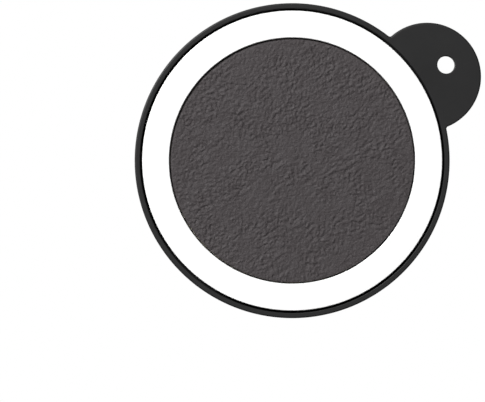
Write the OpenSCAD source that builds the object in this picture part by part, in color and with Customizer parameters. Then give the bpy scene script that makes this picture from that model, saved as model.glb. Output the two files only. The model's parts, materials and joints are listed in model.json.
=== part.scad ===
// Magnetic suction mount for a phone.
// A silicone pad holds a magnet ring on its front and nineteen suction cups on its back.
// It is drawn as it is used: the cups' lips lie on the wall plane y = 0, the ring faces -Y,
// and the pull tab hangs down along -Z. The origin is the middle of the wall plane.

/* [Pad] */
// Diameter of the silicone pad
pad_d = 58.9; // [58.5:0.1:60]
// Thickness of the pad, without the cups
pad_t = 3.9; // [3.8:0.1:5]
// Radius of the pad's outer edge at the back
back_edge_r = 0.8; // [0.4:0.1:1]
// Radius of the pad's outer edge at the front
front_edge_r = 0.35; // [0.1:0.05:0.4]
// Width of the open gap between the ring and the rim
rim_gap = 0.45; // [0.2:0.05:0.5]

/* [Suction cups] */
// Diameter of a cup's lip
cup_lip_d = 10.28; // [9:0.02:10.8]
// Diameter of a cup where it joins the pad
cup_foot_d = 8.4; // [7:0.1:9]
// Height of a cup, from the pad to its lip
cup_h = 2.2; // [1.8:0.1:3]
// Radius of the rounded bottom of a cup's bowl
bowl_bottom_r = 3.1; // [2.6:0.1:3.6]
// Slope of the bowl's side, in degrees
bowl_slope = 26.5; // [20:0.5:27]
// Width of the flat lip round the bowl
lip_w = 0.68; // [0.6:0.02:0.8]
// Thickness of the lip
lip_t = 0.4; // [0.2:0.05:0.6]
// Pitch radius of the outer row of cups
outer_row_r = 22.97; // [22.5:0.01:23.5]
// Pitch radius of the inner row of cups
inner_row_r = 11.8; // [11.5:0.1:12]
// Number of cups in the outer row
outer_cups = 12; // [12]
// Number of cups in the inner row
inner_cups = 6; // [6]

/* [Magnet ring] */
// Outside diameter of the ring
ring_od = 56; // [55:0.1:56]
// Inside diameter of the ring
ring_id = 46; // [45.9:0.1:46.5]
// How far the ring stands in front of the rim
ring_proud = 0.1; // [0:0.05:0.2]
// Thickness of the ring cover's face
cover_t = 0.5; // [0.4:0.05:0.6]
// Thickness of the ring cover's side walls
cover_wall = 0.35; // [0.3:0.05:0.5]
// Thickness of the magnets
magnet_t = 1.3; // [1:0.1:1.4]
// Number of magnets
magnets = 16; // [16]
// Gap between neighbouring magnets
magnet_gap = 0.2; // [0.1:0.05:0.4]
// Thickness of the steel back iron
iron_t = 0.4; // [0.3:0.05:0.5]
// Thickness of the adhesive layers
glue_t = 0.15; // [0.1:0.05:0.2]
// Clearance between the cover's walls and what it holds
cover_play = 0.05; // [0.03:0.01:0.1]

/* [Centre inlay] */
// Diameter of the inlay
inlay_d = 45.6; // [45.2:0.1:45.8]
// Thickness of the inlay
inlay_t = 0.8; // [0.6:0.1:1]
// How far the inlay lies behind the ring's face
inlay_recess = 0.3; // [0.1:0.05:0.4]

/* [Pull tab] */
// Diameter of the tab's round end
tab_d = 20.2; // [18:0.1:21]
// Distance from the pad's middle to the middle of the tab's round end
tab_offset = 29.7; // [29:0.1:30.5]
// Thickness of the tab
tab_t = 1.6; // [1.4:0.1:2]
// Chamfer round the tab's edge
tab_chamfer = 0.25; // [0.1:0.05:0.4]
// Diameter of the lanyard hole
hole_d = 3.3; // [3:0.1:3.6]
// Distance from the pad's middle to the lanyard hole
hole_offset = 33.9; // [33.7:0.1:35]
// Distance from the pad's middle to the line that the tab bends on
bend_offset = 31; // [30.9:0.05:31.1]
// Bend away from the wall, in degrees
bend_out = 70; // [30:5:80]
// Bend towards the wall, in degrees
bend_in = 20; // [5:5:25]

/* [Hidden] */
$fn = 96;
CUPS = 1 + inner_cups + outer_cups;

function numbered(stem, i) = str(stem, i < 10 ? "_0" : "_", i);
CUP_NODES = [for (i = [1 : CUPS]) numbered("suction_cup", i)];
MAGNET_NODES = [for (i = [1 : magnets]) numbered("magnet", i)];
BODY_NODES = ["silicone_pad", "pull_tab", "ring_cover", "back_iron", "ring_adhesive"];

// Everything below is drawn lying on its back: local +Z points into the wall, local +Y runs
// from the middle to the tab, and the cups' lips are at local z = 0.
pad_back = -cup_h;
rim_z = pad_back - pad_t;
ring_z = rim_z - ring_proud;
magnet_z = ring_z + cover_t;
iron_z = magnet_z + magnet_t;
glue_z = iron_z + iron_t;
floor_z = glue_z + glue_t;
inlay_z = ring_z + inlay_recess;
inlay_glue_z = inlay_z + inlay_t;
boss_z = inlay_glue_z + glue_t;
recess_d = ring_od + 2 * rim_gap;
boss_d = ring_id - 0.4;
magnet_od = ring_od - 2 * (cover_wall + cover_play);
magnet_id = ring_id + 2 * (cover_wall + cover_play);
tab_mid_z = rim_z + tab_t / 2;
// Radius of the round bead that the tab turns on, inside the bend
bead_r = 0.45;
bead_play = 0.05;
// Extra angle cut away on each side of the bend, so that its faces never meet
bend_spare = 2;
// Overrun of a cutting shape past the face that it cuts
over = 0.5;

RUBBER_BLACK = [0.10, 0.10, 0.105];
CUP_BLACK = [0.14, 0.14, 0.145];
RING_WHITE = [0.96, 0.96, 0.96];
INLAY_TAUPE = [0.31, 0.295, 0.30];
MAGNET_NICKEL = [0.72, 0.72, 0.74];
IRON_GREY = [0.55, 0.56, 0.58];
GLUE_AMBER = [0.85, 0.82, 0.72];

// Stands a shape up against the wall: local +Z becomes +Y and local +Y becomes -Z.
module stand_up() {
    rotate([-90, 0, 0])
        children();
}

// A flat ring, from height z upwards.
module flat_ring(od, id, z, t) {
    translate([0, 0, z])
        difference() {
            cylinder(d = od, h = t);
            translate([0, 0, -over])
                cylinder(d = id, h = t + 2 * over);
        }
}

// A flat disc with the same chamfer on both edges.
module chamfered_disc(d, t, c) {
    rotate_extrude()
        polygon([[0, 0], [d / 2 - c, 0], [d / 2, c], [d / 2, t - c], [d / 2 - c, t], [0, t]]);
}

// Half of the pad's section, with rounded outer edges.
module pad_section() {
    r = pad_d / 2;
    square([r - back_edge_r, pad_t]);
    translate([0, front_edge_r])
        square([r, pad_t - front_edge_r - back_edge_r]);
    square([r - front_edge_r, pad_t - back_edge_r]);
    translate([r - front_edge_r, front_edge_r])
        circle(r = front_edge_r);
    translate([r - back_edge_r, pad_t - back_edge_r])
        circle(r = back_edge_r);
}

// The tab's whole round plate, with its root inside the pad.
module tab_plate() {
    translate([0, tab_offset, rim_z])
        chamfered_disc(tab_d, tab_t, tab_chamfer);
}

// The space on the tab's side of the bend: it lies past both faces of a V with its point on
// the bend line. out_side and in_side are the V's angles in front and behind.
module bend_wedge(out_side, in_side, reach) {
    translate([0, bend_offset, tab_mid_z])
        rotate([0, 90, 0])
            linear_extrude(height = tab_d + 2 * over, center = true)
                polygon([
                    [0, 0],
                    [tab_t, tab_t * tan(out_side)],
                    [tab_t, reach],
                    [-tab_t, reach],
                    [-tab_t, tab_t * tan(in_side)]
                ]);
}

// A round bar along the bend line.
module bend_bar(r, length) {
    translate([0, bend_offset, tab_mid_z])
        rotate([0, 90, 0])
            cylinder(r = r, h = length, center = true);
}

// The part of the tab plate that moves with the pull tab.
module tab_half() {
    half_out = bend_out / 2 + bend_spare;
    half_in = bend_in / 2 + bend_spare;
    intersection() {
        tab_plate();
        bend_wedge(half_out, half_in, tab_d);
    }
}

// The part of the tab plate that stays with the pad.
module root_half() {
    half_out = bend_out / 2 + bend_spare;
    half_in = bend_in / 2 + bend_spare;
    difference() {
        tab_plate();
        bend_wedge(-half_out, -half_in, tab_d);
        bend_bar(bead_r + bead_play, tab_d + 2 * over);
    }
}

module silicone_pad() {
    color(RUBBER_BLACK)
        stand_up()
            difference() {
                union() {
                    translate([0, 0, rim_z])
                        rotate_extrude()
                            pad_section();
                    root_half();
                }
                difference() {
                    translate([0, 0, rim_z - over])
                        cylinder(d = recess_d, h = floor_z - rim_z + over);
                    translate([0, 0, boss_z])
                        cylinder(d = boss_d, h = pad_t);
                }
            }
}

module pull_tab() {
    bead_length = 2 * sqrt(pow(tab_d / 2 - tab_chamfer, 2) - pow(bend_offset - tab_offset, 2)) - 1;
    color(RUBBER_BLACK)
        stand_up()
            difference() {
                union() {
                    tab_half();
                    bend_bar(bead_r, bead_length);
                }
                translate([0, hole_offset, rim_z - over])
                    cylinder(d = hole_d, h = tab_t + 2 * over);
            }
}

module ring_cover() {
    channel_h = magnet_t + iron_t;
    color(RING_WHITE)
        stand_up() {
            difference() {
                flat_ring(ring_od, ring_id, ring_z, cover_t + channel_h);
                flat_ring(ring_od - 2 * cover_wall, ring_id + 2 * cover_wall, magnet_z, channel_h + over);
            }
        }
}

module back_iron() {
    color(IRON_GREY)
        stand_up()
            flat_ring(magnet_od, magnet_id, iron_z, iron_t);
}

module ring_adhesive() {
    color(GLUE_AMBER)
        stand_up()
            flat_ring(ring_od, ring_id, glue_z, glue_t);
}

module centre_inlay() {
    color(INLAY_TAUPE)
        stand_up()
            translate([0, 0, inlay_z])
                cylinder(d = inlay_d, h = inlay_t);
}

module inlay_adhesive() {
    color(GLUE_AMBER)
        stand_up()
            translate([0, 0, inlay_glue_z])
                cylinder(d = boss_d, h = glue_t);
}

// Magnet number i of the ring, counted from the tab.
module magnet(i) {
    pitch = 360 / magnets;
    color(MAGNET_NICKEL)
        stand_up()
            intersection() {
                flat_ring(magnet_od, magnet_id, magnet_z, magnet_t);
                rotate([0, 0, 90 + (i - 0.5) * pitch])
                    magnet_sector(pitch);
            }
}

// A sector of the given angle, with half a gap taken off each side.
module magnet_sector(angle) {
    reach = magnet_od;
    translate([magnet_gap / 2 / sin(angle / 2), 0, magnet_z - over])
        linear_extrude(height = magnet_t + 2 * over)
            polygon([[0, 0], reach * [cos(angle / 2), -sin(angle / 2)], reach * [cos(angle / 2), sin(angle / 2)]]);
}

// Place of cup number i: 1 is in the middle, then the inner row and the outer row. An inner
// cup lies in line with the tab, and the tab's line runs midway between two outer cups.
function cup_radius(i) = i == 1 ? 0 : i <= 1 + inner_cups ? inner_row_r : outer_row_r;
function cup_angle(i) =
    i <= 1 + inner_cups
        ? 90 + (i - 2) * 360 / inner_cups
        : 90 + (i - 1.5 - inner_cups) * 360 / outer_cups;

module suction_cup(i) {
    r = cup_radius(i);
    a = cup_angle(i);
    color(CUP_BLACK)
        stand_up()
            translate([r * cos(a), r * sin(a), pad_back])
                cup_shape();
}

// One cup, with its foot at z = 0 and its bowl open upwards.
module cup_shape() {
    rotate_extrude()
        difference() {
            cup_outline();
            bowl_outline();
        }
}

// Half of a cup's section, without its bowl.
module cup_outline() {
    foot_r = cup_foot_d / 2;
    lip_r = cup_lip_d / 2;
    polygon([[0, 0], [foot_r, 0], [lip_r, cup_h - lip_t], [lip_r, cup_h], [0, cup_h]]);
}

// The bowl's section: a cone, with a ball's cap at its bottom that runs out into the cone.
module bowl_outline() {
    bowl_r = cup_lip_d / 2 - lip_w;
    cap_h = cup_h - (bowl_r - bowl_bottom_r) * tan(bowl_slope);
    ball_r = bowl_bottom_r / sin(bowl_slope);
    mouth_r = bowl_r + over / tan(bowl_slope);
    polygon([[0, cap_h], [bowl_bottom_r, cap_h], [mouth_r, cup_h + over], [0, cup_h + over]]);
    translate([0, cap_h + ball_r * cos(bowl_slope)])
        circle(r = ball_r);
}

silicone_pad();
pull_tab();
ring_cover();
back_iron();
ring_adhesive();
centre_inlay();
inlay_adhesive();
for (i = [1 : magnets])
    magnet(i);
for (i = [1 : CUPS])
    suction_cup(i);
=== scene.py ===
"""Looks of the magnetic suction mount for a phone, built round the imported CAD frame.

The mount is held upright by its suction plane, Y = 0: the ring faces -Y and the tab hangs
along -Z.
"""

import json
import math

import bmesh
import bpy
from mathutils import Matrix, Vector, geometry, noise

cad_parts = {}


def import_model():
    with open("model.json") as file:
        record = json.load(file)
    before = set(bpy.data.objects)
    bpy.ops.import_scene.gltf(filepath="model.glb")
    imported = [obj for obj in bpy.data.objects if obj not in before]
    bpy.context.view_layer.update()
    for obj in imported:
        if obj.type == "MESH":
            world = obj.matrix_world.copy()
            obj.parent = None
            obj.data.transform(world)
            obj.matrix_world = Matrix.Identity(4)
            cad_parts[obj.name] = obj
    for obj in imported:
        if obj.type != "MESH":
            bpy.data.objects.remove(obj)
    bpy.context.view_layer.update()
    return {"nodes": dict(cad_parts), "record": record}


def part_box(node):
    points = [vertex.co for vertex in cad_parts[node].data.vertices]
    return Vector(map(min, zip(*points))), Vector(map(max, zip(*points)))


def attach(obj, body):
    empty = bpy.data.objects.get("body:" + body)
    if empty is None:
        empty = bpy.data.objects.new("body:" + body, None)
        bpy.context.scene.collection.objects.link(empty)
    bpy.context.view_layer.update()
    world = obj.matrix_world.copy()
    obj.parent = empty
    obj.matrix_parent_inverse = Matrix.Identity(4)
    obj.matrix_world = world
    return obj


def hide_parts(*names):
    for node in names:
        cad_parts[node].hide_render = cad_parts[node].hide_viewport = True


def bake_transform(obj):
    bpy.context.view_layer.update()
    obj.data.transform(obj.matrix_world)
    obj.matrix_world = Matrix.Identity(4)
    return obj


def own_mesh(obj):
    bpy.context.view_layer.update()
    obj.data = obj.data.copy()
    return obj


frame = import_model()

MM = 0.001

# ---------------------------------------------------------------- sizes read from the frame
# A name that ends in _Q is a distance down from the middle of the pad.
PAD_LOW, PAD_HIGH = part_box("silicone_pad")
COVER_LOW, COVER_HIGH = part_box("ring_cover")
INLAY_LOW, INLAY_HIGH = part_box("centre_inlay")
TAB_LOW, TAB_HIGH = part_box("pull_tab")
BOSS_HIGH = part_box("inlay_adhesive")[1]
GLUE_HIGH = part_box("ring_adhesive")[1]
CUP_NODES = sorted(n for n in frame["nodes"] if n.startswith("suction_cup"))
MAGNET_NODES = sorted(n for n in frame["nodes"] if n.startswith("magnet"))
MOUNTS = {m["name"]: m for m in frame["record"]["mounts"]}

PAD_R = PAD_HIGH.x
RIM_Y = PAD_LOW.y
PAD_BACK_Y = PAD_HIGH.y
TAB_BACK_Y = TAB_HIGH.y
TAB_TIP = -TAB_LOW.z
RING_R = COVER_HIGH.x
INLAY_R = INLAY_HIGH.x
BOSS_R = BOSS_HIGH.x
BOSS_Y = BOSS_HIGH.y
RECESS_FLOOR_Y = GLUE_HIGH.y
HOLE_R = MOUNTS["lanyard_hole"]["dims"]["r_mm"] * MM
HOLE_Q = -MOUNTS["lanyard_hole"]["pos_m"][2]

# ---------------------------------------------------------------- sizes of the finer shape
TAB_R = 10.1 * MM
TAB_Q = TAB_TIP - TAB_R
TAB_FILLET = 0.45 * MM
RING_GAP = 0.48 * MM
RECESS_R = RING_R + RING_GAP
RING_INNER_R = 23.0 * MM
FRONT_EDGE_R = 0.35 * MM
BACK_EDGE_R = 0.8 * MM
TAB_BACK_EDGE_R = 0.3 * MM
RIM_EDGE_R = 0.10 * MM
HOLE_EDGE_R = 0.15 * MM
HOLE_BACK_EDGE_R = 0.28 * MM
# Width of the flat band beside each rounded edge, which keeps the flat faces' shading flat
FLAT_MARGIN = 0.07 * MM

# How finely round shapes are drawn
ROUND_SEGMENTS = 256
FRONT_EDGE_STEPS = 6
BACK_EDGE_STEPS = 10
RIM_EDGE_STEPS = 4
SMALL_EDGE_STEPS = 5

# A distance or a share smaller than this counts as nothing
TINY = 1e-9


# ---------------------------------------------------------------- mesh helpers
def new_piece(name, points, faces, material, smooth=True):
    """A mesh object made of the points and faces, with its normals turned outwards."""
    mesh = bpy.data.meshes.new(name)
    mesh.from_pydata(points, [], faces)
    work = bmesh.new()
    work.from_mesh(mesh)
    bmesh.ops.recalc_face_normals(work, faces=work.faces)
    work.to_mesh(mesh)
    work.free()
    for polygon in mesh.polygons:
        polygon.use_smooth = smooth
    mesh.materials.append(material)
    piece = bpy.data.objects.new(name, mesh)
    bpy.context.scene.collection.objects.link(piece)
    return piece


def arc(centre, radius, start, end, steps):
    """Points (a, b) on an arc, both ends included; angles in degrees from +a towards +b."""
    angles = [math.radians(start + (end - start) * i / steps) for i in range(steps + 1)]
    return [(centre[0] + radius * math.cos(t), centre[1] + radius * math.sin(t)) for t in angles]


def lathe(name, profile, segments, material, centre=(0.0, 0.0)):
    """Turns a closed profile of (radius, y) about an axis along Y through centre (x, z)."""
    points = []
    rings = []
    for r, y in profile:
        if r < TINY:
            rings.append([len(points)])
            points.append((centre[0], y, centre[1]))
            continue
        rings.append(list(range(len(points), len(points) + segments)))
        for k in range(segments):
            a = 2 * math.pi * k / segments
            points.append((centre[0] + r * math.cos(a), y, centre[1] + r * math.sin(a)))
    faces = []
    for one, two in zip(rings, rings[1:] + rings[:1]):
        faces += ring_faces(one, two)
    return new_piece(name, points, faces, material)


def ring_faces(one, two):
    """The faces between two closed rings of point numbers; a ring of one point is a pole."""
    count = max(len(one), len(two))
    if count == 1:
        return []
    faces = []
    for k in range(count):
        n = (k + 1) % count
        corners = [one[k % len(one)], one[n % len(one)], two[n % len(two)], two[k % len(two)]]
        kept = []
        for c in corners:
            if c not in kept:
                kept.append(c)
        if len(kept) > 2:
            faces.append(kept)
    return faces


# ---------------------------------------------------------------- the silicone moulding
# Its outline is drawn in a plane with p = x and q = -z, so the tab lies along +q.
def fillet_centre():
    """Centre of the fillet between the pad and the tab, on the +p side."""
    a = PAD_R + TAB_FILLET
    b = TAB_R + TAB_FILLET
    q = (a * a - b * b + TAB_Q * TAB_Q) / (2 * TAB_Q)
    return math.sqrt(a * a - q * q), q


# Steps along the pad's outline, each fillet, the tab's outline and the line where they join
DISC_STEPS = 232
FILLET_STEPS = 6
TAB_STEPS = 150
JOIN_STEPS = 40
HOLE_SEGMENTS = 56
# More steps than any of these outlines has in a full turn
FINEST_STEPS = 1000

# Points all over the tab's flat faces: their spacing, and how far they stay off each edge
GRID_SPACING = 0.3 * MM
GRID_EDGE_GAP = 0.25 * MM
GRID_HOLE_GAP = 0.2 * MM

# The kind of triangulation that keeps to the inside of the outlines
WITHIN_OUTLINES = 1


def fillet_arc(inset, on_wall):
    """The +p fillet from the pad's wall to the tab's edge. On the wall it starts where the arc
    meets the pad's full radius."""
    p, q = fillet_centre()
    radius = TAB_FILLET + inset
    to_pad = math.atan2(-q, -p)
    to_tab = math.atan2(TAB_Q - q, -p)
    reach = PAD_R + TAB_FILLET
    start = 0.0
    if on_wall:
        cosine = (reach * reach + radius * radius - PAD_R * PAD_R) / (2 * reach * radius)
        start = math.acos(min(1.0, cosine))
    turn = (to_tab - to_pad) % (2 * math.pi)
    if turn > math.pi:
        turn -= 2 * math.pi
    start = math.copysign(start, turn)
    points = []
    for i in range(FILLET_STEPS + 1):
        t = to_pad + start + (turn - start) * i / FILLET_STEPS
        points.append((p + radius * math.cos(t), q + radius * math.sin(t)))
    return points


def tab_edge(inset, on_wall):
    """The outline of the tab from the -p side round its tip to the +p side, fillets included."""
    right = fillet_arc(inset, on_wall)
    left = [(-p, q) for p, q in right]
    p, q = right[-1]
    half = math.atan2(p, q - TAB_Q)
    radius = TAB_R - inset
    tip = []
    for i in range(1, TAB_STEPS):
        t = -half + 2 * half * i / TAB_STEPS
        tip.append((radius * math.sin(t), TAB_Q + radius * math.cos(t)))
    return left + tip + right[::-1]


def pad_edge(radius, first, last, steps):
    """The pad's round outline between two angles from +q towards +p, its ends left out."""
    points = []
    for i in range(1, steps):
        t = first + (last - first) * i / steps
        points.append((radius * math.sin(t), radius * math.cos(t)))
    return points


class Shell:
    """Collects the points and faces of the silicone moulding."""

    def __init__(self):
        self.points = []
        self.faces = []

    def loop(self, outline, y):
        first = len(self.points)
        self.points += [(p, y, -q) for p, q in outline]
        return list(range(first, len(self.points)))

    def bridge(self, one, two):
        self.faces += ring_faces(one, two)

    def fill(self, loops, y, extra, inside):
        """Triangulates the flat region between the loops, through the extra points."""
        numbers = [n for loop in loops for n in loop]
        flat = [Vector((self.points[n][0], -self.points[n][2])) for n in numbers]
        edges = []
        at = 0
        for loop in loops:
            edges += [(at + k, at + (k + 1) % len(loop)) for k in range(len(loop))]
            at += len(loop)
        first_new = len(self.points)
        self.points += [(p, y, -q) for p, q in extra]
        numbers += list(range(first_new, len(self.points)))
        flat += [Vector(v) for v in extra]
        made = geometry.delaunay_2d_cdt(flat, edges, [], WITHIN_OUTLINES, TINY)
        where, triangles, origins = made[0], made[2], made[3]
        for tri in triangles:
            middle = (where[tri[0]] + where[tri[1]] + where[tri[2]]) / 3
            if inside(middle):
                self.faces.append([numbers[origins[k][0]] for k in tri])


def in_tab_hole(point, edge_r):
    """Whether a point of a flat face lies in the lanyard hole or on its rounded edge."""
    flat_r = (HOLE_R + edge_r + FLAT_MARGIN) * math.cos(math.pi / HOLE_SEGMENTS)
    return (point - Vector((0, HOLE_Q))).length < flat_r


def tab_grid(edge_r):
    """Points all over the tab, off its edge and its hole, which divide its flat faces finely."""
    widest_r = TAB_R - (edge_r + FLAT_MARGIN + GRID_EDGE_GAP)
    pad_r = PAD_R + GRID_EDGE_GAP
    hole_r = HOLE_R + HOLE_BACK_EDGE_R + FLAT_MARGIN + GRID_HOLE_GAP
    rows = int((TAB_TIP - PAD_R) / GRID_SPACING)
    columns = int(TAB_R / GRID_SPACING) + 1
    points = []
    for j in range(rows):
        q = PAD_R + (j + 0.5) * GRID_SPACING
        for i in range(-columns, columns + 1):
            p = (i + 0.5 * (j % 2)) * GRID_SPACING
            on_tab = math.hypot(p, q - TAB_Q) <= widest_r and math.hypot(p, q) >= pad_r
            if on_tab and math.hypot(p, q - HOLE_Q) > hole_r:
                points.append((p, q))
    return points


def hole_rings(shell):
    """The lanyard hole's wall, with soft edges. Returns its first and last rings."""
    def ring(radius, y):
        circle = arc((0.0, HOLE_Q), radius, 0, 360, HOLE_SEGMENTS)[:-1]
        return shell.loop(circle, y)

    profile = [(HOLE_R + HOLE_EDGE_R + FLAT_MARGIN, RIM_Y)]
    front = (HOLE_R + HOLE_EDGE_R, RIM_Y + HOLE_EDGE_R)
    profile += arc(front, HOLE_EDGE_R, 270, 180, SMALL_EDGE_STEPS)
    back_r = HOLE_R + HOLE_BACK_EDGE_R
    back = (back_r, TAB_BACK_Y - HOLE_BACK_EDGE_R)
    profile += arc(back, HOLE_BACK_EDGE_R, 180, 90, SMALL_EDGE_STEPS)
    profile += [(back_r + FLAT_MARGIN, TAB_BACK_Y)]
    rings = [ring(r, y) for r, y in profile]
    for one, two in zip(rings, rings[1:]):
        shell.bridge(one, two)
    return rings[0], rings[-1]


def front_rings(shell):
    """The rim's inner edge, the recess that holds the ring, and the boss under the inlay."""
    profile = [(RECESS_R + RIM_EDGE_R + FLAT_MARGIN, RIM_Y)]
    edge = (RECESS_R + RIM_EDGE_R, RIM_Y + RIM_EDGE_R)
    profile += arc(edge, RIM_EDGE_R, 270, 180, RIM_EDGE_STEPS)
    profile += [(RECESS_R, RECESS_FLOOR_Y), (BOSS_R, RECESS_FLOOR_Y), (BOSS_R, BOSS_Y)]
    rings = []
    for r, y in profile:
        circle = arc((0.0, 0.0), r, 0, 360, ROUND_SEGMENTS)[:-1]
        rings.append(shell.loop(circle, y))
    for one, two in zip(rings, rings[1:]):
        shell.bridge(one, two)
    shell.bridge(rings[-1], shell.loop([(0.0, 0.0)], BOSS_Y))
    return rings[0]


def wall_start(inset):
    """Angle, from +q, where the tab's edge leaves the pad's wall."""
    p, q = fillet_arc(inset, True)[0]
    return math.atan2(p, q)


def outer_levels(shell):
    """The front edge all round, and the wall down to the tab's back. Each level is the numbers of
    its points on the pad and on the tab; the first is on the front face."""
    start = wall_start(0.0)

    def level(disc_r, inset, y, on_wall=False):
        disc = shell.loop(pad_edge(disc_r, start, 2 * math.pi - start, DISC_STEPS), y)
        tab = shell.loop(tab_edge(inset, on_wall), y)
        return disc, tab

    flat_in = FRONT_EDGE_R + FLAT_MARGIN
    levels = [level(PAD_R - FRONT_EDGE_R - FLAT_MARGIN, flat_in, RIM_Y)]
    front = (PAD_R - FRONT_EDGE_R, RIM_Y + FRONT_EDGE_R)
    for r, y in arc(front, FRONT_EDGE_R, 270, 360, FRONT_EDGE_STEPS):
        levels.append(level(r, PAD_R - r, y))
    back_y = TAB_BACK_Y - TAB_BACK_EDGE_R
    levels.append(level(PAD_R, 0.0, RIM_Y + FRONT_EDGE_R + FLAT_MARGIN))
    levels.append(level(PAD_R, 0.0, back_y - FLAT_MARGIN))
    for r, y in arc((-TAB_BACK_EDGE_R, back_y), TAB_BACK_EDGE_R, 0, 90, SMALL_EDGE_STEPS):
        levels.append(level(PAD_R, -r, y, on_wall=True))
    last_tab = shell.loop(tab_edge(TAB_BACK_EDGE_R + FLAT_MARGIN, True), TAB_BACK_Y)
    last_disc = levels[-1][0]
    levels.append((last_disc, last_tab))
    for (disc_a, tab_a), (disc_b, tab_b) in zip(levels, levels[1:]):
        shell.bridge(disc_a + tab_a, disc_b + tab_b)
    return levels


def pad_back(shell, disc, tab):
    """The pad's wall behind the tab, its rounded back edge and its back. Returns the line where
    the tab's back meets the pad's wall."""
    start = wall_start(TAB_BACK_EDGE_R + FLAT_MARGIN)
    join = shell.loop(pad_edge(PAD_R, -start, start, JOIN_STEPS), TAB_BACK_Y)
    ring = disc + [tab[0]] + join + [tab[-1]]
    edge_r = PAD_R - BACK_EDGE_R
    edge_y = PAD_BACK_Y - BACK_EDGE_R
    profile = [(PAD_R, TAB_BACK_Y + FLAT_MARGIN), (PAD_R, edge_y - 2 * FLAT_MARGIN)]
    profile += arc((edge_r, edge_y), BACK_EDGE_R, 0, 90, BACK_EDGE_STEPS)
    profile += [(edge_r - 2 * FLAT_MARGIN, PAD_BACK_Y)]
    for r, y in profile:
        angles = [math.atan2(shell.points[n][0], -shell.points[n][2]) for n in ring]
        following = shell.loop([(r * math.sin(t), r * math.cos(t)) for t in angles], y)
        shell.bridge(ring, following)
        ring = following
    shell.bridge(ring, shell.loop([(0.0, 0.0)], PAD_BACK_Y))
    return join


def flat_faces(shell, front_edge, tab_back_edge, join):
    """The flat front of the rim and the tab, and the flat back of the tab."""
    rim = front_rings(shell)
    rim_r = (RECESS_R + RIM_EDGE_R + FLAT_MARGIN) * math.cos(math.pi / ROUND_SEGMENTS)
    wall_r = PAD_R * math.cos(math.pi / FINEST_STEPS)
    hole_front, hole_back = hole_rings(shell)
    shell.fill(
        [front_edge, rim, hole_front], RIM_Y, tab_grid(FRONT_EDGE_R),
        lambda v: v.length > rim_r and not in_tab_hole(v, HOLE_EDGE_R),
    )
    shell.fill(
        [tab_back_edge + join[::-1], hole_back], TAB_BACK_Y, tab_grid(TAB_BACK_EDGE_R),
        lambda v: v.length > wall_r and not in_tab_hole(v, HOLE_BACK_EDGE_R),
    )


def silicone_moulding(material):
    """The pad and its tab, as one skin."""
    shell = Shell()
    levels = outer_levels(shell)
    front_disc, front_tab = levels[0]
    last_disc, last_tab = levels[-1]
    join = pad_back(shell, last_disc, last_tab)
    flat_faces(shell, front_disc + front_tab, last_tab, join)
    piece = new_piece("silicone_moulding", shell.points, shell.faces, material)
    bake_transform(piece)
    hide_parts("silicone_pad", "pull_tab")


# ---------------------------------------------------------------- suction cups
# A cup's section is a list of (radius, y) points, and its land touches the plane y = 0.
CUP_SEGMENTS = 72

# The foot, in from the lip's radius and sunk into the pad; and where the skirt reaches that radius
FOOT_IN = 0.75 * MM
FOOT_SUNK = 0.04 * MM
SKIRT_Y = -0.34 * MM

# The lip's outer edge: its radius and how many degrees it turns
LIP_OUTER_R = 0.16 * MM
LIP_TURN = 75

# The land: its width, how far its edges drop, and its crest, in from the lip's radius
LAND_W = 0.78 * MM
LAND_DROP = 0.02 * MM
LAND_CREST_IN = 0.3 * MM

# The land's inner edge, which is eased into the bowl in two steps, out from the bowl's radius
LAND_EDGE_W = 0.12 * MM
BEVEL_W = 0.03 * MM
BEVEL_Y = -0.05 * MM

# The bowl: where its cone starts, and the ball's cap that closes it
CONE_Y = -0.07 * MM
CAP_R = 3.1 * MM
CAP_SLOPE = math.radians(26.5)

LIP_STEPS = 6
WAIST_STEPS = 8
SKIRT_STEPS = 6
CONE_STEPS = 6
CAP_STEPS = 14

# Places of the materials on a cup; the bowl's is 0
# The land's material carries painted light: a tone lighter than the bowl's
LAND_MATERIAL_PAINTED_LIGHT = 1
# The wall's material carries painted shade: the pad's darker tone on the cup's outer wall
WALL_MATERIAL_PAINTED_SHADE = 2


def bezier(a, b, c, d, steps):
    """Points on a cubic curve through a and d, pulled towards b and c."""
    points = []
    for i in range(steps + 1):
        t = i / steps
        weights = ((1 - t) ** 3, 3 * t * (1 - t) ** 2, 3 * t * t * (1 - t), t ** 3)
        points.append(tuple(sum(w * v[k] for w, v in zip(weights, (a, b, c, d))) for k in (0, 1)))
    return points


def cup_wall(lip_r):
    """From the middle of the foot, out and along the waisted wall to the lip."""
    def at(inward, up):
        """A point so many millimetres in from the lip, and out from the pad's back."""
        return (lip_r - inward * MM, PAD_BACK_Y + up * MM)

    foot_r = lip_r - FOOT_IN
    sunk_y = PAD_BACK_Y - FOOT_SUNK
    waist = at(0.85, 1.05)
    above_skirt = (lip_r - 0.05 * MM, SKIRT_Y - 0.25 * MM)
    points = [(0.0, sunk_y), (foot_r, sunk_y), (foot_r, PAD_BACK_Y)]
    points += bezier(at(0.8, 0.01), at(1.1, 0.06), at(1.15, 0.5), waist, WAIST_STEPS)
    points += bezier(waist, at(0.6, 1.4), above_skirt, (lip_r, SKIRT_Y), SKIRT_STEPS)[1:]
    return points


def cup_land(lip_r):
    """Round the lip's outer edge and over the flat ring that seals on a surface, to the bowl."""
    bowl_r = lip_r - LAND_W
    edge = (lip_r - LIP_OUTER_R, -LIP_OUTER_R - LAND_DROP)
    points = arc(edge, LIP_OUTER_R, 0, LIP_TURN, LIP_STEPS)
    points += [(lip_r - LAND_CREST_IN, 0.0)]
    points += [(bowl_r + LAND_EDGE_W, -LAND_DROP), (bowl_r + BEVEL_W, BEVEL_Y)]
    return points


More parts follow.
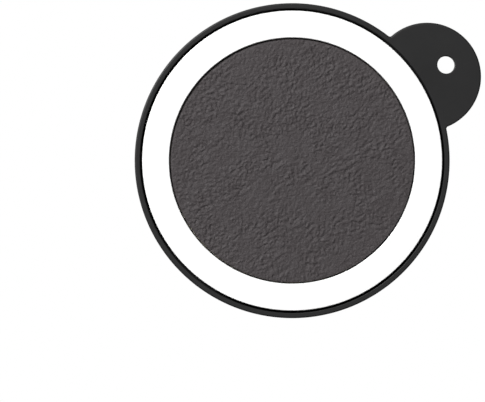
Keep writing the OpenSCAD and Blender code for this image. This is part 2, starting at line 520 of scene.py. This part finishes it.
def cup_bowl(lip_r):
    """A cone that runs into a ball's cap, down to the middle."""
    bowl_r = lip_r - LAND_W
    points = []
    for i in range(CONE_STEPS + 1):
        r = bowl_r + (CAP_R - bowl_r) * i / CONE_STEPS
        points.append((r, CONE_Y - (bowl_r - r) * math.tan(CAP_SLOPE)))
    ball = CAP_R / math.sin(CAP_SLOPE)
    middle_y = points[-1][1] + ball * math.cos(CAP_SLOPE)
    for i in range(1, CAP_STEPS):
        t = CAP_SLOPE * (1 - i / CAP_STEPS)
        points.append((ball * math.sin(t), middle_y - ball * math.cos(t)))
    points.append((0.0, middle_y - ball))
    return points


def paint_cup(cup, wall_rows, land_rows, land_material_painted_light, wall_material_painted_shade):
    """Gives the outer wall and the land their own finishes. The wall's darker tone is painted
    shade, and the land's lighter tone is painted light. The bowl keeps the first one.
    """
    cup.data.materials.append(land_material_painted_light)
    cup.data.materials.append(wall_material_painted_shade)
    for face in cup.data.polygons:
        row = face.index // CUP_SEGMENTS
        if row < wall_rows:
            face.material_index = WALL_MATERIAL_PAINTED_SHADE
        elif row < wall_rows + land_rows:
            face.material_index = LAND_MATERIAL_PAINTED_LIGHT


def suction_cups(bowl_material, land_material_painted_light, wall_material_painted_shade):
    """Every cup, as a turned skin that flattens as the pad is pressed."""
    for node in CUP_NODES:
        low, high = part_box(node)
        centre = ((low.x + high.x) / 2, (low.z + high.z) / 2)
        lip_r = (high.x - low.x) / 2
        wall = cup_wall(lip_r)
        land = cup_land(lip_r)
        profile = wall + land + cup_bowl(lip_r)
        cup = lathe(f"{node}_skin", profile, CUP_SEGMENTS, bowl_material, centre)
        paint_cup(cup, len(wall), len(land) - 1, land_material_painted_light, wall_material_painted_shade)
        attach(cup, "suction_cups")
        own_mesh(cup)
        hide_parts(node)


# ---------------------------------------------------------------- magnet ring and inlay
def ring_cover(material):
    """The white cover: a flat face with softened edges, and its walls."""
    edge = 0.12 * MM
    wall = 0.35 * MM
    face_y = COVER_LOW.y + 0.5 * MM
    edge_y = COVER_LOW.y + edge
    back_y = COVER_HIGH.y
    inner_r = RING_INNER_R + wall
    outer_r = RING_R - wall
    profile = arc((RING_INNER_R + edge, edge_y), edge, 180, 270, SMALL_EDGE_STEPS)
    profile += arc((RING_R - edge, edge_y), edge, 270, 360, SMALL_EDGE_STEPS)
    profile += [(RING_R, back_y), (outer_r, back_y), (outer_r, face_y)]
    profile += [(inner_r, face_y), (inner_r, back_y), (RING_INNER_R, back_y)]
    piece = lathe("ring_cover_skin", profile, ROUND_SEGMENTS, material)
    keep_edges_crisp(piece)
    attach(piece, "pad")
    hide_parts("ring_cover")


def keep_edges_crisp(piece):
    """Shades the flat faces flat and the small edge roundings smoothly."""
    modifier = piece.modifiers.new("weighted", "WEIGHTED_NORMAL")
    modifier.keep_sharp = True
    modifier.weight = 100


# The inlay's crumpled surface is a sum of noises. A scale is in bumps per millimetre, more or less,
# and a height is a share of the whole relief. The layer is the slice of the noises that is used.
CRUMPLE_LAYER = 3.7
CRUMPLE_MEAN = 0.5
WARP_SCALE = 1.1
WARP_REACH = 0.35
PEBBLE_SCALE = 1.35
PEBBLE_HEIGHT = 0.9
SMALL_PEBBLE_SCALE = 2.2
SMALL_PEBBLE_HEIGHT = 0.85
CREASE_SCALE = 0.95
CREASE_HEIGHT = 0.35
CREASE_MEAN = 0.2
CALM_SCALE = 0.22
CALM_MEAN = 0.72
CALM_SPREAD = 1.1
CALM_LEAST = 0.3

# Rings of points on the inlay's front, and how many more points each has than the one inside it
INLAY_RINGS = 140
INLAY_POINTS_MORE = 8

# The gap round the inlay, its thin pressed edge, its relief, and how far behind its front a line
# of points runs round its side
INLAY_GAP = 0.05 * MM
INLAY_EDGE_W = 0.35 * MM
INLAY_RELIEF = 0.205 * MM
INLAY_SIDE_LINE = 0.3 * MM


def wave(point, scale, shift=(0, 0, 0)):
    """A smooth noise from -1 to 1; a shift makes it another one."""
    return noise.noise(point * scale + Vector(shift))


def crumple(x, z):
    """Height of the inlay's crumpled surface at a point, from 0 to about 1."""
    here = Vector((x / MM, z / MM, CRUMPLE_LAYER))
    warp = Vector((wave(here, WARP_SCALE), wave(here, WARP_SCALE, (9, 4, 2)), 0))
    bent = here + warp * WARP_REACH
    pebbles = PEBBLE_HEIGHT * wave(bent, PEBBLE_SCALE)
    pebbles += SMALL_PEBBLE_HEIGHT * wave(bent, SMALL_PEBBLE_SCALE, (1, 8, 0))
    creases = abs(wave(bent, CREASE_SCALE, (3, 1, 5))) - CREASE_MEAN
    calm = CALM_MEAN + CALM_SPREAD * wave(here, CALM_SCALE, (5, 5, 0))
    return CRUMPLE_MEAN + (pebbles + CREASE_HEIGHT * creases) * min(1.0, max(CALM_LEAST, calm))


def inlay_front():
    """The points and rings of the inlay's relief, from its middle to its thin pressed edge."""
    lowest_y = INLAY_LOW.y + INLAY_RELIEF
    radius = INLAY_R - INLAY_GAP
    points = [(0.0, lowest_y - INLAY_RELIEF * crumple(0, 0), 0.0)]
    rings = [[0]]
    for k in range(1, INLAY_RINGS + 1):
        r = radius * k / INLAY_RINGS
        count = INLAY_POINTS_MORE * k
        rings.append(list(range(len(points), len(points) + count)))
        share = min(1.0, (radius - r) / INLAY_EDGE_W)
        for i in range(count):
            a = 2 * math.pi * i / count
            x, z = r * math.cos(a), r * math.sin(a)
            height = INLAY_RELIEF * min(1.0, max(0.0, crumple(x, z))) * share
            points.append((x, lowest_y - height, z))
    return points, rings


def centre_inlay(material):
    """The crumpled inlay: its relief, its side and its flat back."""
    points, rings = inlay_front()
    faces = []
    for one, two in zip(rings, rings[1:]):
        faces += ladder(one, two)
    outer = rings[-1]
    for y in (INLAY_LOW.y + INLAY_SIDE_LINE, INLAY_HIGH.y):
        first = len(points)
        points += [(points[n][0], y, points[n][2]) for n in outer]
        following = list(range(first, len(points)))
        faces += ring_faces(outer, following)
        outer = following
    points.append((0.0, INLAY_HIGH.y, 0.0))
    faces += ring_faces(outer, [len(points) - 1])
    piece = new_piece("centre_inlay_skin", points, faces, material)
    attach(piece, "pad")
    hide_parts("centre_inlay")


def ladder(one, two):
    """Faces between two rings of points whose counts differ, each starting at angle 0."""
    faces = []
    i = j = 0
    n, m = len(one), len(two)
    if n == 1:
        return [[one[0], two[k], two[(k + 1) % m]] for k in range(m)]
    while i < n or j < m:
        if j < m and (i >= n or (j + 1) / m <= (i + 1) / n + TINY):
            faces.append([one[i % n], two[j % m], two[(j + 1) % m]])
            j += 1
        else:
            faces.append([one[i % n], two[j % m], one[(i + 1) % n]])
            i += 1
    return faces


# ---------------------------------------------------------------- materials
# The values of a noise between which its tones are spread
NOISE_LOW = 0.3
NOISE_HIGH = 0.7

# Places of a colour Mix node's sockets, because their names repeat for each kind of data
MIX_SHARE = 0
MIX_ONE = 6
MIX_TWO = 7
MIX_RESULT = 2


class Nodes:
    """A new node material with a Principled shader, and short ways to add to it."""

    def __init__(self, name):
        self.material = bpy.data.materials.new(name)
        self.material.use_nodes = True
        self.tree = self.material.node_tree
        self.shader = self.tree.nodes["Principled BSDF"]
        self.position = self.add("ShaderNodeTexCoord").outputs["Object"]

    def add(self, kind, **settings):
        made = self.tree.nodes.new(kind)
        for key, value in settings.items():
            setattr(made, key, value)
        return made

    def link(self, out, into):
        self.tree.links.new(out, into)

    def set(self, **values):
        """Sets the shader's inputs; an underscore in a name stands for a space."""
        for key, value in values.items():
            self.shader.inputs[key.replace("_", " ")].default_value = value

    def noise(self, scale, detail=4.0, roughness=0.55, distortion=0.0):
        made = self.add("ShaderNodeTexNoise")
        self.link(self.position, made.inputs["Vector"])
        made.inputs["Scale"].default_value = scale
        made.inputs["Detail"].default_value = detail
        made.inputs["Roughness"].default_value = roughness
        made.inputs["Distortion"].default_value = distortion
        return made.outputs["Fac"]

    def ramp(self, value, stops):
        """Turns a value into a colour. The stops are (place, colour or grey)."""
        made = self.add("ShaderNodeValToRGB")
        self.link(value, made.inputs["Fac"])
        elements = made.color_ramp.elements
        while len(elements) < len(stops):
            elements.new(0.5)
        for element, (place, colour) in zip(elements, stops):
            element.position = place
            grey = isinstance(colour, (int, float))
            element.color = (colour, colour, colour, 1) if grey else (*colour, 1)
        return made.outputs["Color"]

    def spread(self, value, low, high):
        """A ramp over the middle of a noise, from one tone to the other."""
        return self.ramp(value, [(NOISE_LOW, low), (NOISE_HIGH, high)])

    def mix(self, share, one, two, blend="MIX"):
        made = self.add("ShaderNodeMix", data_type="RGBA", blend_type=blend)
        for place, value in ((MIX_SHARE, share), (MIX_ONE, one), (MIX_TWO, two)):
            socket = made.inputs[place]
            if isinstance(value, bpy.types.NodeSocket):
                self.link(value, socket)
            elif isinstance(value, (int, float)):
                socket.default_value = value
            else:
                socket.default_value = (*value, 1)
        return made.outputs[MIX_RESULT]

    def bump(self, height, strength, distance, normal=None):
        """Fine relief, its distance in metres, on top of another normal if one is given."""
        made = self.add("ShaderNodeBump")
        made.inputs["Strength"].default_value = strength
        made.inputs["Distance"].default_value = distance
        self.link(height, made.inputs["Height"])
        if normal is not None:
            self.link(normal, made.inputs["Normal"])
        return made.outputs["Normal"]


# Colours are linear. A pair is the darkest and the lightest tone of one surface.
PAD_TONES = ((0.0131, 0.0131, 0.0133), (0.0153, 0.0153, 0.0155))
BOWL_TONES = ((0.055, 0.055, 0.0555), (0.059, 0.059, 0.0595))
# The land's tones are painted light: lighter than the bowl's, for the light its flat ring catches
LAND_TONES_PAINTED_LIGHT = ((0.067, 0.067, 0.0675), (0.072, 0.072, 0.0725))
LINT = (0.16, 0.155, 0.15)
WHITE_TONES = ((0.90, 0.90, 0.895), (0.93, 0.93, 0.93))
INLAY_TONES = ((0.0502, 0.0432, 0.0447), (0.0624, 0.0554, 0.0574))
NICKEL = (0.66, 0.63, 0.58)
IRON = (0.46, 0.46, 0.48)
FILM_TONES = ((0.62, 0.57, 0.42), (0.72, 0.68, 0.55))


def silicone_material(name, tones, roughness, specular, grain=1.0):
    """Matt moulded silicone: a fine spark-eroded grain, faint clouding and a little lint."""
    m = Nodes(name)
    clouds = m.spread(m.noise(scale=120, detail=3), *tones)
    lint = m.ramp(m.noise(scale=5200, detail=2, roughness=0.5), [(0.74, 0.0), (0.82, 0.35)])
    m.link(m.mix(lint, clouds, LINT), m.shader.inputs["Base Color"])
    m.link(m.spread(m.noise(scale=900), *roughness), m.shader.inputs["Roughness"])
    coarse = m.bump(m.noise(scale=2600, detail=3), 0.10 * grain, 0.00006)
    fine = m.bump(m.noise(scale=9000, detail=2), 0.12 * grain, 0.00003, coarse)
    m.link(fine, m.shader.inputs["Normal"])
    m.set(IOR=1.41, Specular_IOR_Level=specular)
    return m.material


def white_cover_material():
    """Smooth white plastic with a barely uneven gloss."""
    m = Nodes("white_cover")
    tone = m.spread(m.noise(scale=60, detail=2), *WHITE_TONES)
    m.link(tone, m.shader.inputs["Base Color"])
    m.link(m.spread(m.noise(scale=700, detail=3), 0.30, 0.38), m.shader.inputs["Roughness"])
    m.link(m.bump(m.noise(scale=1500, detail=2), 0.04, 0.00004), m.shader.inputs["Normal"])
    m.set(IOR=1.49)
    return m.material


def inlay_material():
    """Crumpled synthetic leather: taupe with a random mottle, and fine darker pores."""
    m = Nodes("crumpled_inlay")
    mottle = m.spread(m.noise(scale=420, detail=5, roughness=0.6), *INLAY_TONES)
    pores = m.ramp(m.noise(scale=3600, detail=3, roughness=0.6), [(0.32, 0.72), (0.5, 1.0)])
    m.link(m.mix(1.0, mottle, pores, "MULTIPLY"), m.shader.inputs["Base Color"])
    m.link(m.spread(m.noise(scale=1500), 0.55, 0.72), m.shader.inputs["Roughness"])
    broad = m.bump(m.noise(scale=2300, detail=3, distortion=0.3), 0.9, 0.00022)
    fine = m.bump(m.noise(scale=4600, detail=2, roughness=0.6), 0.35, 0.00005, broad)
    m.link(fine, m.shader.inputs["Normal"])
    m.set(IOR=1.45, Specular_IOR_Level=0.3)
    return m.material


def metal_material(name, colour, roughness):
    """Plated or bare metal with fine rolled scratches."""
    m = Nodes(name)
    tone = m.spread(m.noise(scale=300), [c * 0.9 for c in colour], colour)
    m.link(tone, m.shader.inputs["Base Color"])
    m.link(m.spread(m.noise(scale=2500, detail=5), *roughness), m.shader.inputs["Roughness"])
    m.link(m.bump(m.noise(scale=6000, detail=2), 0.05, 0.00002), m.shader.inputs["Normal"])
    m.set(Metallic=1.0)
    return m.material


def adhesive_material():
    """Clear amber transfer adhesive, slightly cloudy."""
    m = Nodes("adhesive_film")
    m.link(m.spread(m.noise(scale=500), *FILM_TONES), m.shader.inputs["Base Color"])
    m.link(m.spread(m.noise(scale=2000, detail=3), 0.35, 0.5), m.shader.inputs["Roughness"])
    m.link(m.bump(m.noise(scale=3000, detail=2), 0.1, 0.00003), m.shader.inputs["Normal"])
    return m.material


def paint_cad_nodes():
    """Finishes for the CAD nodes that stay: the parts held inside."""
    nickel = metal_material("nickel_plate", NICKEL, (0.18, 0.32))
    iron = metal_material("rolled_iron", IRON, (0.3, 0.45))
    film = adhesive_material()
    chosen = {"back_iron": iron, "ring_adhesive": film, "inlay_adhesive": film}
    chosen.update({n: nickel for n in MAGNET_NODES})
    for name, material in chosen.items():
        mesh = frame["nodes"][name].data
        mesh.materials.clear()
        mesh.materials.append(material)


# ---------------------------------------------------------------- camera, light and floor
# The view is square on to the ring. The camera is rolled so that the tab, which hangs straight
# down, points up and to the right.
VIEW_WIDTH = 90.57 * MM
TAB_ANGLE = math.radians(31.9)
PAD_RIGHT_OF_MIDDLE = 9.28 * MM
PAD_ABOVE_MIDDLE = 7.54 * MM
LENS_MM = 135.0
SENSOR_MM = 36.0

PICTURE_RIGHT = Vector((-math.sin(TAB_ANGLE), 0, -math.cos(TAB_ANGLE)))
PICTURE_UP = Vector((math.cos(TAB_ANGLE), 0, -math.sin(TAB_ANGLE)))
TOWARDS_CAMERA = Vector((0, -1, 0))


def camera():
    """Square on to the ring, at the distance where the view is VIEW_WIDTH wide at the rim."""
    data = bpy.data.cameras.new("camera")
    data.lens = LENS_MM
    data.sensor_width = SENSOR_MM
    data.clip_start = 0.01
    data.clip_end = 10.0
    distance = VIEW_WIDTH * LENS_MM / SENSOR_MM
    aim = Vector((0, RIM_Y, 0))
    aim = aim - PICTURE_RIGHT * PAD_RIGHT_OF_MIDDLE - PICTURE_UP * PAD_ABOVE_MIDDLE
    made = bpy.data.objects.new("camera", data)
    bpy.context.scene.collection.objects.link(made)
    turn = Matrix((PICTURE_RIGHT, PICTURE_UP, TOWARDS_CAMERA)).transposed()
    made.matrix_world = Matrix.Translation(aim + TOWARDS_CAMERA * distance) @ turn.to_4x4()
    bpy.context.scene.camera = made


def area_light(name, place, size, power):
    """A round soft light that faces the mount."""
    data = bpy.data.lights.new(name, "AREA")
    data.shape = "DISK"
    data.size = size
    data.energy = power
    made = bpy.data.objects.new(name, data)
    bpy.context.scene.collection.objects.link(made)
    made.location = place
    made.rotation_mode = "QUATERNION"
    made.rotation_quaternion = (-Vector(place)).to_track_quat("-Z", "Y")


def lights():
    """The front is lit from the picture's upper left, and the back mostly from the +X side."""
    upper_left = (PICTURE_UP - PICTURE_RIGHT).normalized()
    key = upper_left * 0.72 + TOWARDS_CAMERA * 0.62
    fill = -upper_left * 0.5 + TOWARDS_CAMERA * 0.9
    area_light("key", key, size=0.35, power=12.7)
    area_light("fill", fill, size=0.7, power=1.9)
    area_light("back_key", (0.60, 0.54, 0.37), size=0.45, power=1.05)
    area_light("back_fill", (-0.58, 0.55, -0.2), size=0.9, power=0.55)
    area_light("edge", (0.85, 0.0, 0.4), size=0.25, power=2.5)


# The surroundings light the back of the mount from one side, like a wall of soft light. The glow
# grows with the cosine of the angle to its middle, and fades out towards the front.
GLOW_TOWARDS = Vector((0.84, 0.26, 0.477)).normalized()
GLOW_STRENGTH = 1.18
GLOW_FROM = 0.18
GLOW_FULL = 0.8
BACK_FROM = -0.1
BACK_FULL = 0.3
AMBIENT_STRENGTH = 0.14


def side_glow(nodes, links):
    """The strength of the surroundings as a light, which depends on the direction."""
    def fade(value, low, high, largest):
        node = nodes.new("ShaderNodeMapRange")
        node.interpolation_type = "SMOOTHSTEP"
        node.inputs["From Min"].default_value = low
        node.inputs["From Max"].default_value = high
        node.inputs["To Max"].default_value = largest
        links.new(value, node.inputs["Value"])
        return node.outputs["Result"]

    direction = nodes.new("ShaderNodeTexCoord").outputs["Generated"]
    towards = nodes.new("ShaderNodeVectorMath")
    towards.operation = "DOT_PRODUCT"
    towards.inputs[1].default_value = GLOW_TOWARDS
    links.new(direction, towards.inputs[0])
    parts = nodes.new("ShaderNodeSeparateXYZ")
    links.new(direction, parts.inputs["Vector"])
    glow = nodes.new("ShaderNodeMath")
    glow.operation = "MULTIPLY_ADD"
    side = fade(towards.outputs["Value"], GLOW_FROM, GLOW_FULL, GLOW_STRENGTH)
    links.new(side, glow.inputs[0])
    links.new(fade(parts.outputs["Y"], BACK_FROM, BACK_FULL, 1.0), glow.inputs[1])
    glow.inputs[2].default_value = AMBIENT_STRENGTH
    return glow.outputs["Value"]


def world():
    """White as the camera sees it, and dimmer as a light, with a soft glow from one side."""
    made = bpy.data.worlds.new("studio")
    bpy.context.scene.world = made
    made.use_nodes = True
    nodes = made.node_tree.nodes
    links = made.node_tree.links
    seen = nodes.new("ShaderNodeLightPath")
    strength = nodes.new("ShaderNodeMapRange")
    strength.inputs["To Max"].default_value = 1.0
    links.new(side_glow(nodes, links), strength.inputs["To Min"])
    links.new(seen.outputs["Is Camera Ray"], strength.inputs["Value"])
    background = nodes["Background"]
    background.inputs["Color"].default_value = (1, 1, 1, 1)
    links.new(strength.outputs["Result"], background.inputs["Strength"])


FLOOR_R = 1.2
FLOOR_Z = -0.45
FLOOR_SEGMENTS = 96
FLOOR_GLOW = 0.75


def floor():
    """A plain white floor, well under the mount, which is held up by its suction plane. It glows
    a little, so that it meets the white surroundings without a line, and lights nothing."""
    m = Nodes("pale_floor")
    m.link(m.spread(m.noise(scale=3, detail=3), 0.92, 0.95), m.shader.inputs["Base Color"])
    m.set(Roughness=0.9, Emission_Color=(1, 1, 1, 1), Emission_Strength=FLOOR_GLOW)
    angles = [2 * math.pi * k / FLOOR_SEGMENTS for k in range(FLOOR_SEGMENTS)]
    edge = [(FLOOR_R * math.cos(a), FLOOR_R * math.sin(a), FLOOR_Z) for a in angles]
    face = list(range(FLOOR_SEGMENTS))
    made = new_piece("floor", edge, [face], m.material, smooth=False)
    made.data.flip_normals()
    made.visible_diffuse = False
    made.visible_glossy = False


# ---------------------------------------------------------------- the scene
bpy.context.scene.view_settings.view_transform = "Standard"
camera()
world()
lights()
floor()
paint_cad_nodes()
silicone = silicone_material("black_silicone", PAD_TONES, (0.48, 0.56), 0.34)
cup_silicone = silicone_material("cup_silicone", BOWL_TONES, (0.285, 0.33), 0.68, grain=0.25)
# The land's lighter tones are painted light
land_silicone_painted_light = silicone_material("cup_land", LAND_TONES_PAINTED_LIGHT, (0.56, 0.64), 0.25)
# The cups' outer walls take the pad's darker tones as painted shade
wall_silicone_painted_shade = silicone_material("cup_wall", PAD_TONES, (0.7, 0.78), 0.2)
silicone_moulding(silicone)
suction_cups(cup_silicone, land_silicone_painted_light, wall_silicone_painted_shade)
ring_cover(white_cover_material())
centre_inlay(inlay_material())
